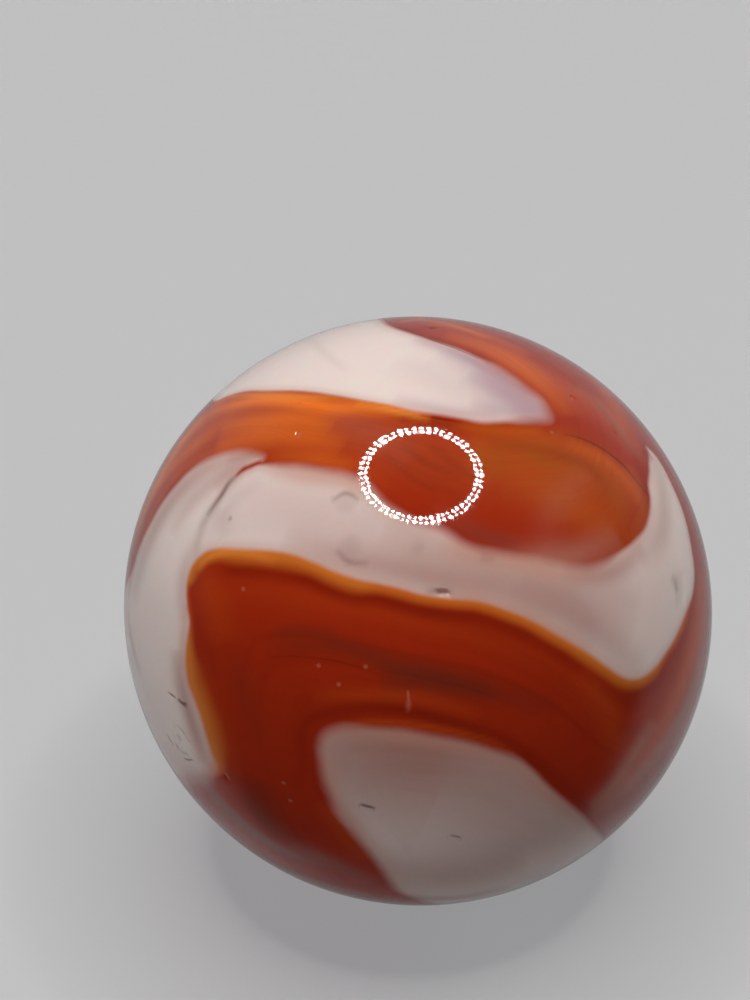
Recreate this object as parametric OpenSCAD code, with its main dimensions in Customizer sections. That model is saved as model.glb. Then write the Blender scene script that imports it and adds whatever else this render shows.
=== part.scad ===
// Glass marble: one solid ball of machine-made swirl glass. Bands of white glass are folded
// into orange-red glass, and both come out flush at the surface. The ball is very slightly
// long on one axis, and carries the small pits, dents and creases of its making and play.
//
// Frame: millimetres, +Z up, origin at the ball's centre. The show face is the side that
// looks forward (-Y) and up. A place on the ball is [turn, tilt] in degrees: turn runs
// anticlockwise about the show face's middle from the right (+X), and tilt is the angle
// away from that middle, so 0 is the middle, 90 the edge and 180 the far side.

/* [Ball] */
// Diameter across the short axes of the ball
ball_d = 15.9; // [12:0.1:26]
// How much longer the ball is on its long axis
long_extra = 0.2; // [0.05:0.01:0.4]
// Turn of the long axis about the show face's middle
long_turn = 130; // [120:1:140]
// Tilt of the long axis away from the show face's middle
long_tilt = 61; // [55:1:70]
// Angle of the show face above the horizontal
face_up = 40; // [0:5:90]

/* [Swirl] */
// Depth of the folded white bands below the surface
fold_depth = 2.2; // [0.5:0.1:3.5]
// Smooth steps between two stations of a band
fold_steps = 2; // [1:1:3]

/* [Dents and pits] */
// Width of the two shallow dents on the front band
dent_d = 0.75; // [0.4:0.05:1.2]
// Depth of the shallow dents
dent_depth = 0.02; // [0.01:0.005:0.15]
// Width of the deep pit under the dents
pit_d = 0.36; // [0.2:0.02:0.6]
// Depth of the deep pit
pit_depth = 0.11; // [0.04:0.01:0.18]
// Width of each burst bubble
bubble_d = 0.2; // [0.12:0.02:0.4]
// Depth of each burst bubble
bubble_depth = 0.05; // [0.02:0.01:0.1]
// Width of the moon-shaped bruise near the left edge
moon_d = 0.84; // [0.5:0.02:1.4]

/* [Creases] */
// Width of a crease across its mouth
crease_w = 0.1; // [0.06:0.01:0.2]
// Length of the crease where two white folds meet
fold_crease = 1.6; // [0.8:0.1:2.2]
// Length of the sliding dent near the right edge
slide_dent = 1; // [0.6:0.1:1.6]
// Length of each short scratch on the left edge
scratch = 0.44; // [0.2:0.02:0.8]

/* [Hidden] */
$fn = 120;

ball_r = ball_d / 2;
long_r = ball_r + long_extra / 2;
// How far a band reaches past the surface before the ball trims it flush
skin = 2;
// Curve, along its length, of every crease's floor
crease_bow = 12;

// Each band is a list of stations: [turn, tilt] on one edge, then [turn, tilt] on the other.
// The top fold starts in a tongue at the upper middle, goes over the top and down the back,
// and comes up again from below as a broad round end.
top_fold = [
    [[56, 47], [56, 49]],
    [[58, 45], [60, 50]],
    [[62, 42], [63, 51]],
    [[69, 39], [67, 53]],
    [[78, 38], [72, 55]],
    [[86, 39], [78, 57]],
    [[93, 40], [83, 59]],
    [[100, 42], [88, 62]],
    [[106, 45], [93, 66]],
    [[112, 49], [96, 71]],
    [[118, 54], [97, 79]],
    [[124, 60], [97, 88]],
    [[129, 67], [95, 94]],
    [[132, 75], [92, 99]],
    [[134, 86], [88, 104]],
    [[132, 100], [82, 109]],
    [[125, 115], [72, 116]],
    [[113, 128], [59, 121]],
    [[95, 139], [45, 125]],
    [[73, 147], [28, 128]],
    [[45, 156], [8, 130]],
    [[10, 161], [345, 133]],
    [[320, 164], [324, 135]],
    [[285, 156], [310, 130]],
    [[278, 142], [305, 120]],
    [[277, 124], [306, 108]],
    [[277, 107], [308, 98]],
    [[277, 95], [309, 90]],
    [[274, 84], [309, 82]],
    [[270, 75], [309, 74]],
    [[266, 68], [309, 66]],
    [[264, 63], [308, 58]],
    [[260, 57], [308, 51]],
    [[255, 52], [306, 44]],
    [[251, 47], [305, 38]],
    [[247, 43], [302, 33]],
    [[243, 40], [297, 29]],
    [[239, 38], [288, 26]],
    [[235, 35], [275, 23]],
    [[232, 32], [260, 22]],
    [[233, 29], [248, 22]],
    [[236, 27], [241, 24]]
];

// The front fold climbs the left side, crosses the show face in a long wave, turns up near
// the right edge and ends in a point.
front_fold = [
    [[217, 74], [219, 67]],
    [[215, 84], [218, 60]],
    [[209, 94], [215, 55]],
    [[200, 101], [207, 52]],
    [[192, 103], [201, 51]],
    [[186, 101], [196, 51]],
    [[181, 94], [191, 50]],
    [[177, 84], [187, 50]],
    [[173, 76], [183, 49]],
    [[168, 72], [179, 48]],
    [[163, 69], [175, 48]],
    [[158, 66], [171, 49]],
    [[153, 63], [168, 48]],
    [[149, 61], [165, 45]],
    [[145, 58], [162, 42]],
    [[141, 53], [160, 37]],
    [[138, 49], [159, 33]],
    [[136, 44], [158, 29]],
    [[133, 39], [157, 25]],
    [[126, 34], [156, 20]],
    [[119, 29], [154, 15]],
    [[113, 25], [149, 10]],
    [[106, 21], [136, 6]],
    [[94, 17], [84, 3]],
    [[75, 15], [25, 6]],
    [[54, 16], [6, 10]],
    [[38, 19], [0, 15]],
    [[27, 23], [354, 21]],
    [[19, 28], [350, 27]],
    [[15, 33], [346, 34]],
    [[15, 38], [343, 39]],
    [[17, 42], [342, 44]],
    [[18, 47], [343, 48]],
    [[20, 51], [346, 52]],
    [[22, 54], [350, 55]],
    [[24, 56], [354, 58]],
    [[26, 58], [359, 62]],
    [[28, 60], [4, 65]],
    [[30, 61], [9, 68]],
    [[32, 64], [16, 70]],
    [[34, 66], [23, 71]],
    [[35, 68], [30, 71]],
    [[36, 69], [35, 71]]
];

// Two shorter folds lie on the far side, one towards each edge.
right_fold = [
    [[66, 103], [66, 101]],
    [[57, 107], [56, 99]],
    [[45, 111], [44, 98]],
    [[31, 113], [30, 98]],
    [[16, 115], [16, 99]],
    [[2, 117], [2, 101]],
    [[349, 118], [348, 103]],
    [[338, 116], [336, 105]],
    [[329, 113], [326, 107]],
    [[322, 111], [320, 109]]
];
left_fold = [
    [[143, 117], [141, 119]],
    [[153, 118], [149, 128]],
    [[165, 122], [162, 138]],
    [[177, 126], [178, 145]],
    [[189, 128], [198, 148]],
    [[201, 127], [215, 145]],
    [[213, 124], [227, 138]],
    [[223, 120], [234, 129]],
    [[230, 116], [236, 120]]
];
folds = [top_fold, front_fold, right_fold, left_fold];

// Places of the round marks
dent_at = [[124, 24], [137, 17]];
pit_at = [47, 5];
moon_at = [209, 63];
bubble_at = [
    [120, 50], [124, 43], [87, 69], [54, 60], [42, 61],
    [154, 42], [35, 66], [221, 56], [232, 45], [236, 48]
];

// Creases, as [place, angle from the line that leads away from the show face's middle, length]
creases = [
    [[151, 47], 78, fold_crease],
    [[4, 59], 75, slide_dent],
    [[198, 58], 146, scratch],
    [[200, 55], 139, scratch]
];

// Unit vector of a place on the ball, in the show face's own axes
function heading(at) =
    [sin(at[1]) * cos(at[0]), sin(at[1]) * sin(at[0]), cos(at[1])];

// Distance from the centre to the surface along a unit vector
function reach(v) =
    let (along = abs(v * heading([long_turn, long_tilt])) * long_extra / 2)
    along + sqrt(pow(ball_r, 2) - pow(long_extra / 2, 2) + pow(along, 2));

// A smooth curve on the ball through a list of places, as unit vectors
function curve_point(p0, p1, p2, p3, t) =
    2 * p1 + (p2 - p0) * t + (2 * p0 - 5 * p1 + 4 * p2 - p3) * t * t
    + (3 * p1 - p0 - 3 * p2 + p3) * t * t * t;
function smooth(places) =
    let (v = [for (at = places) heading(at)], last = len(v) - 1)
    [for (i = [0 : last - 1], k = [0 : fold_steps - 1])
        let (
            before = v[max(i - 1, 0)],
            after = v[min(i + 2, last)],
            p = curve_point(before, v[i], v[i + 1], after, k / fold_steps)
        ) p / norm(p),
     v[last]];

// Puts what follows on the ball's surface at a place, with +Z pointing outwards
module on_surface(at) {
    rotate([0, at[1], at[0]]) translate([0, 0, reach(heading(at))]) children();
}

// A shallow round hollow of the given width and depth
module hollow(at, width, depth) {
    r = (width * width / 4 + depth * depth) / (2 * depth);
    on_surface(at) translate([0, 0, r - depth]) sphere(r = r);
}

// A straight crease with a V section, as a thin wheel would press it
module crease(at, angle, length) {
    depth = length * length / 8 * (1 / crease_bow + 1 / ball_r);
    half = crease_bow * crease_w / 2 / depth;
    on_surface(at) rotate([0, 0, angle]) translate([0, 0, crease_bow - depth])
        rotate([90, 0, 0]) rotate_extrude() polygon([[0, -half], [crease_bow, 0], [0, half]]);
}

// A moon-shaped bruise: most of a fine ring pressed into the surface
module moon(at) {
    dip = moon_d * moon_d / (8 * ball_r);
    on_surface(at) translate([0, 0, -dip])
        rotate_extrude(angle = 300) translate([moon_d / 2, 0]) circle(d = crease_w);
}

// Half of the ball's section: two quarter circles with a narrow straight belt between them
module half_section() {
    for (flip = [0, 1]) mirror([0, flip]) {
        square([ball_r, long_extra / 2]);
        translate([0, long_extra / 2]) intersection() {
            circle(r = ball_r);
            square(ball_r);
        }
    }
}

// The ball itself, turned to lay its long axis
module ball() {
    rotate([0, long_tilt, long_turn]) rotate_extrude() half_section();
}

// One band of white glass, from below the surface to just outside it
module fold(stations) {
    a = smooth([for (s = stations) s[0]]);
    b = smooth([for (s = stations) s[1]]);
    low = ball_r - fold_depth;
    high = long_r + skin;
    last = len(a) - 1;
    polyhedron(
        points = [for (i = [0 : last]) each [a[i] * low, b[i] * low, b[i] * high, a[i] * high]],
        faces = concat(
            [[2, 1, 0], [3, 2, 0]],
            [for (i = [0 : last - 1], k = [0 : 3])
                let (p = 4 * i + k, q = 4 * i + (k + 1) % 4) each [[q + 4, p + 4, p], [q, q + 4, p]]],
            [[4 * last, 4 * last + 1, 4 * last + 2], [4 * last, 4 * last + 2, 4 * last + 3]]
        )
    );
}

// Every dent, pit, bubble and crease
module marks() {
    for (at = dent_at) hollow(at, dent_d, dent_depth);
    hollow(pit_at, pit_d, pit_depth);
    for (at = bubble_at) hollow(at, bubble_d, bubble_depth);
    for (c = creases) crease(c[0], c[1], c[2]);
    moon(moon_at);
}

module marble() {
    rotate([90 - face_up, 0, 0]) difference() {
        union() {
            color("OrangeRed") difference() {
                ball();
                for (stations = folds) fold(stations);
            }
            color("SeaShell") for (stations = folds) intersection() {
                ball();
                fold(stations);
            }
        }
        marks();
    }
}

marble();
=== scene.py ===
"""Glass marble: one solid ball of swirl glass, white folded into orange-red.

Lengths are millimetres, and MM turns them into metres where an object is made. A place on the
ball is [turn, tilt] in degrees, as in the part: turn runs anticlockwise about the middle of the
show face from the right (+X), and tilt is the angle away from that middle. The show face looks
forward (-Y) and FACE_UP degrees up.
"""

import math

import bmesh
import bpy
import numpy as np
from mathutils import Matrix, Vector


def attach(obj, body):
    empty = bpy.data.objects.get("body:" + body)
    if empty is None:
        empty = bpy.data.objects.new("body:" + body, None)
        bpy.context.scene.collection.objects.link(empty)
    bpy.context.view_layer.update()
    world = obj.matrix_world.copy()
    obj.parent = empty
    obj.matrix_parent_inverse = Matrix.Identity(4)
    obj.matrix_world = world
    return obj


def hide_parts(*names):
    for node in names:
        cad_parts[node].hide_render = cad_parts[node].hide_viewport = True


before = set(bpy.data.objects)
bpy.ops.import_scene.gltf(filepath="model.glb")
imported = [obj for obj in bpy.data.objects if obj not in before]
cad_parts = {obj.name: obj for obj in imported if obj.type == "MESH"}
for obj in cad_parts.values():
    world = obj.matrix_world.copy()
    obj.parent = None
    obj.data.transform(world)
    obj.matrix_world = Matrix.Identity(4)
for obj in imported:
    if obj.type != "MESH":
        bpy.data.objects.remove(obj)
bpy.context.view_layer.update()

MM = 0.001

# --- The ball, as the part has it -----------------------------------------------------------------
BALL_D = 15.9
LONG_EXTRA = 0.2
LONG_AT = [130, 61]
FACE_UP = 40
# Turns the show face's own axes (right, up, outwards) to the part's
FACE_TURN = Matrix.Rotation(math.radians(90 - FACE_UP), 3, "X")

# Faces along one edge of the blown-out cube, and how often the mesh is halved around a mark
FACES_ACROSS = 104
FINE_STEPS = 3
# Half of a cube face's side in its cell of the flat layout, which leaves a gap between cells
FLAT_HALF = 0.48
# Height of the fine waves in the polished skin
SKIN_WAVE = 0.002
# The broad ripples under them: each one's way, which is longer for closer waves, start and height
RIPPLES = [
    ((3.1, -7.7, 5.2), 0.3, 0.0016),
    ((-6.3, 4.4, 7.1), 1.9, 0.0014),
    ((9.0, 6.1, -3.7), 4.2, 0.0011),
]
# How far the ripples' mean lies below the part's surface, so that no crest stands out of it
RIPPLE_DROP = 0.004

# --- White folds ----------------------------------------------------------------------------------
# The edge of each fold, with its white on the left as seen from outside the ball. Each stretch
# gives how wide the colours run into each other, how wide the amber seam is where the white
# thins out, how strong the dark line beyond it is, and the places that it goes through.
TOP_FOLD = [
    (0.3, 0, 0.1, [[56, 49], [58, 51], [60.5, 52.5], [64.5, 53.5], [68.5, 55], [72.5, 56.5]]),
    (0.12, 0, 0.5, [
        [76.5, 58], [81.5, 60], [87.5, 62.5], [92.5, 66.5], [95.5, 70.5], [97, 77],
    ]),
    (0.12, 0.1, 0.2, [
        [97, 88], [95, 94], [92, 99], [88, 104], [82, 109], [72, 116], [59, 121], [45, 125], [28, 128],
        [8, 130], [345, 133], [324, 135], [310, 130], [305, 120], [306, 108], [308, 98], [309, 90],
    ]),
    (0.12, 0, 0.2, [
        [309, 82], [309, 72], [309, 64.5], [308.5, 56.5], [307.5, 50], [306.5, 44.5], [305.5, 38.5],
    ]),
    (0.16, 0, 0.2, [
        [303, 34], [297.5, 30], [288.5, 26], [276, 23.5], [262, 22.5], [249, 23.5],
    ]),
    (0.24, 0, 0.2, [
        [238.5, 25.5], [233.5, 28], [232.5, 30.5], [234.5, 33], [237.5, 35.5], [241, 38.5], [245, 41.5],
    ]),
    (0.24, 0, 0.1, [
        [248.5, 44.5], [252.5, 47.5], [256.5, 51], [260, 55], [262.5, 59.5], [266, 68], [269, 72.5],
        [272, 78],
    ]),
    (0.12, 0.1, 0.2, [
        [275, 86], [277, 95], [277, 107], [277, 124], [278, 142], [285, 156], [320, 164], [10, 161],
        [45, 156], [73, 147], [95, 139], [113, 128], [125, 115], [132, 100], [134, 86],
    ]),
    (0.08, 0, 0, [
        [134, 75.5], [131.5, 71], [128.5, 66.5], [124, 59.5], [118, 53.5], [112, 48.5], [105.5, 44.5],
        [97.5, 41.5],
    ]),
    (0.1, 0, 0.2, [[90.5, 39.5], [83.5, 39], [77.5, 39]]),
    (0.14, 0, 0.2, [[71, 39.5], [65, 42]]),
    (0.24, 0, 0.1, [[60.5, 44.5], [57, 47]]),
]
FRONT_FOLD = [
    (0.1, 0, 0.3, [
        [35.5, 69], [34.5, 68.5], [33.5, 67], [32.5, 65], [31, 63], [30, 61.5], [28.5, 59.5], [26, 58],
        [24, 56.5], [22, 54.5], [19.5, 51.5], [17.5, 47], [16, 42.5],
    ]),
    (0.2, 0, 0.1, [[14.5, 38], [14.5, 33.5], [18, 28.5], [25, 23], [35.5, 18]]),
    (0.2, 0, 0.1, [[51.5, 15], [74.5, 15.5], [93.5, 16.5], [107, 20.5], [112.5, 25.5]]),
    (0.2, 0, 0, [[118, 29], [126, 33.5], [132.5, 38.5]]),
    (0.08, 0, 0, [
        [137, 43], [139.5, 44.5], [141.5, 45.5], [143.5, 46.5], [141, 46.5], [139, 45.5], [137, 44.5],
    ]),
    (0.18, 0, 0, [[135.5, 44], [136, 46], [137.5, 49], [141, 53.5], [145, 57.5]]),
    (0.14, 0, 0, [[148.5, 60.5], [153, 63], [158, 66], [163, 68.5], [168, 71.5], [172.5, 74]]),
    (0.12, 0.1, 0.2, [
        [177, 84], [181, 94], [186, 101], [192, 103], [200, 101], [208, 94], [213, 85],
    ]),
    (0.5, 0, 0, [[216, 77], [216.5, 72.5], [218, 65.5]]),
    (0.36, 0.1, 0, [[218.5, 60]]),
    (0.24, 0.36, 0, [[217, 56.5]]),
    (0.16, 0.52, 0, [[214.5, 55]]),
    (0.12, 0.62, 0.1, [[211, 53.5], [206.5, 52], [202, 51.5], [197.5, 51.5]]),
    (0.1, 0.52, 0.1, [[193, 50.5]]),
    (0.09, 0.3, 0.2, [[188, 49]]),
    (0.09, 0.16, 0.1, [[183, 47.5], [179.5, 48], [175, 48.5]]),
    (0.09, 0.32, 0.25, [[171.5, 48.5], [168, 47.5], [164.5, 45], [162.5, 41.5]]),
    (0.09, 0.38, 0.7, [[161, 37.5], [158.5, 31.5], [156, 26]]),
    (0.09, 0.32, 0.8, [[155, 21], [155, 17], [153, 12.5]]),
    (0.08, 0.24, 0.9, [[145.5, 8.5], [128.5, 5], [82, 3], [24, 5.5], [13.5, 8.5]]),
    (0.08, 0.24, 0.8, [[8, 11.5], [1, 15.5], [355.5, 20.5]]),
    (0.09, 0.26, 0.6, [[351.5, 25], [348.5, 29.5]]),
    (0.1, 0.28, 0.4, [[346, 34], [343.5, 39.5], [342, 44.5], [343, 48.5], [346, 52]]),
    (0.1, 0.2, 0.2, [[349.5, 54.5], [354, 58], [359, 61.5]]),
    (0.1, 0.05, 0.2, [[3.5, 65.5], [8, 68], [13.5, 69], [20.5, 70.5], [27, 71], [32, 71.5], [35, 70]]),
]
RIGHT_FOLD = [
    (0.12, 0.1, 0.2, [
        [66, 101], [56, 99], [44, 98], [30, 98], [16, 99], [2, 101], [348, 103], [336, 105], [326, 107],
        [320, 109], [322, 111], [329, 113], [338, 116], [349, 118], [2, 117], [16, 115], [31, 113],
        [45, 111], [57, 107], [66, 103],
    ]),
]
LEFT_FOLD = [
    (0.12, 0.1, 0.2, [
        [141, 119], [149, 128], [162, 138], [178, 145], [198, 148], [215, 145], [227, 138], [234, 129],
        [236, 120], [230, 116], [223, 120], [213, 124], [201, 127], [189, 128], [177, 126], [165, 122],
        [153, 118], [143, 117],
    ]),
]
# Their order is the order in which streaks of glass run from one to the next
FOLDS = [TOP_FOLD, FRONT_FOLD, RIGHT_FOLD, LEFT_FOLD]
# Steps between two places of an edge
FOLD_STEPS = 4
# The least width, in mm, over which white and colour run into each other
LEAST_BLUR = 0.05
# No place inside a fold is farther than this from its edge
WIDEST = 4.2
# How far, in mm, the flow next to one fold's edge keeps to that fold
FLOW_HOLD = 0.15


def heading(places):
    """Unit vectors of places, in the show face's own axes: right, up and towards the viewer."""
    turn, tilt = np.moveaxis(np.radians(np.asarray(places, float)), -1, 0)
    return np.stack([np.sin(tilt) * np.cos(turn), np.sin(tilt) * np.sin(turn), np.cos(tilt)], -1)


def unit(vectors):
    return vectors / np.linalg.norm(vectors, axis=-1, keepdims=True)


def through(points, steps, closed=False):
    """A smooth line through points, with each row of points holding a place and its looks."""
    if closed:
        held = np.vstack([points[-1:], points, points[:2]])
    else:
        held = np.vstack([points[:1], points, points[-1:]])
    out = []
    for before, here, there, after in zip(held, held[1:], held[2:], held[3:]):
        for t in np.arange(steps) / steps:
            bend = 2 * before - 5 * here + 4 * there - after
            twist = 3 * here - before - 3 * there + after
            out.append(here + ((there - before) * t + bend * t**2 + twist * t**3) / 2)
    if not closed:
        out.append(points[-1])
    out = np.array(out)
    out[:, :3] = unit(out[:, :3])
    return out


def fold_outline(stretches):
    """The closed edge of a white fold: unit vectors, then blur, seam and line at each point."""
    rows = [
        np.hstack([heading(places), np.tile((blur, seam, line), (len(places), 1))])
        for blur, seam, line, places in stretches
    ]
    edge = through(np.vstack(rows), FOLD_STEPS, closed=True)
    edge[:, 3:] = np.maximum(edge[:, 3:], (LEAST_BLUR, 0, 0))
    return edge


def beside(spots, line, closed):
    """Signed distance in mm from directions to a line on the ball, and the line's values there.

    The distance is positive on the left of the line, seen from outside the ball."""
    points = line[:, :3]
    last = len(line) - 1
    near = np.argmax(spots @ points.T, axis=1)
    if closed:
        before, after = points[(near - 1) % len(line)], points[(near + 1) % len(line)]
    else:
        before, after = points[np.maximum(near - 1, 0)], points[np.minimum(near + 1, last)]
    here = points[near]
    past_first = np.einsum("ij,ij->i", spots, np.cross(before, here))
    past_second = np.einsum("ij,ij->i", spots, np.cross(here, after))
    turns_left = np.einsum("ij,ij->i", np.cross(here - before, after - here), here) > 0
    left = np.where(
        turns_left, np.minimum(past_first, past_second), np.maximum(past_first, past_second)
    )
    gap = np.full(len(spots), np.inf)
    held = np.zeros((len(spots), line.shape[1] - 3))
    for step in (-1, 0):
        start = (near + step) % len(line) if closed else np.clip(near + step, 0, last - 1)
        end = (start + 1) % len(line)
        way = points[end] - points[start]
        share = np.einsum("ij,ij->i", spots - points[start], way) / np.einsum("ij,ij->i", way, way)
        share = np.clip(share, 0, 1)[:, None]
        reach = np.linalg.norm(spots - points[start] - way * share, axis=1)
        closer = reach < gap
        gap = np.where(closer, reach, gap)
        held = np.where(closer[:, None], line[start, 3:] * (1 - share) + line[end, 3:] * share, held)
    return gap * np.where((left >= 0) & (gap * BALL_D / 2 < WIDEST), 1, -1) * BALL_D / 2, held


def tangent(at):
    """Two unit vectors along the surface at a place: away from the show face's middle, and round it."""
    out = heading([at[0], at[1] + 90])
    return out, np.cross(heading(at), out)


def local(spots, at, lean=0):
    """Where directions lie on the surface round a place, in mm: along the lean, and to its left.

    Only the ball's near half round the place is kept; the rest is put far away."""
    out, side = tangent(at)
    middle = heading(at)
    x, y, height = spots @ out, spots @ side, spots @ middle
    flat = np.maximum(np.hypot(x, y), 1e-9)
    scale = np.arctan2(flat, height) / flat * BALL_D / 2
    c, s = math.cos(math.radians(lean)), math.sin(math.radians(lean))
    return (x * c + y * s) * scale, (y * c - x * s) * scale


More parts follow.
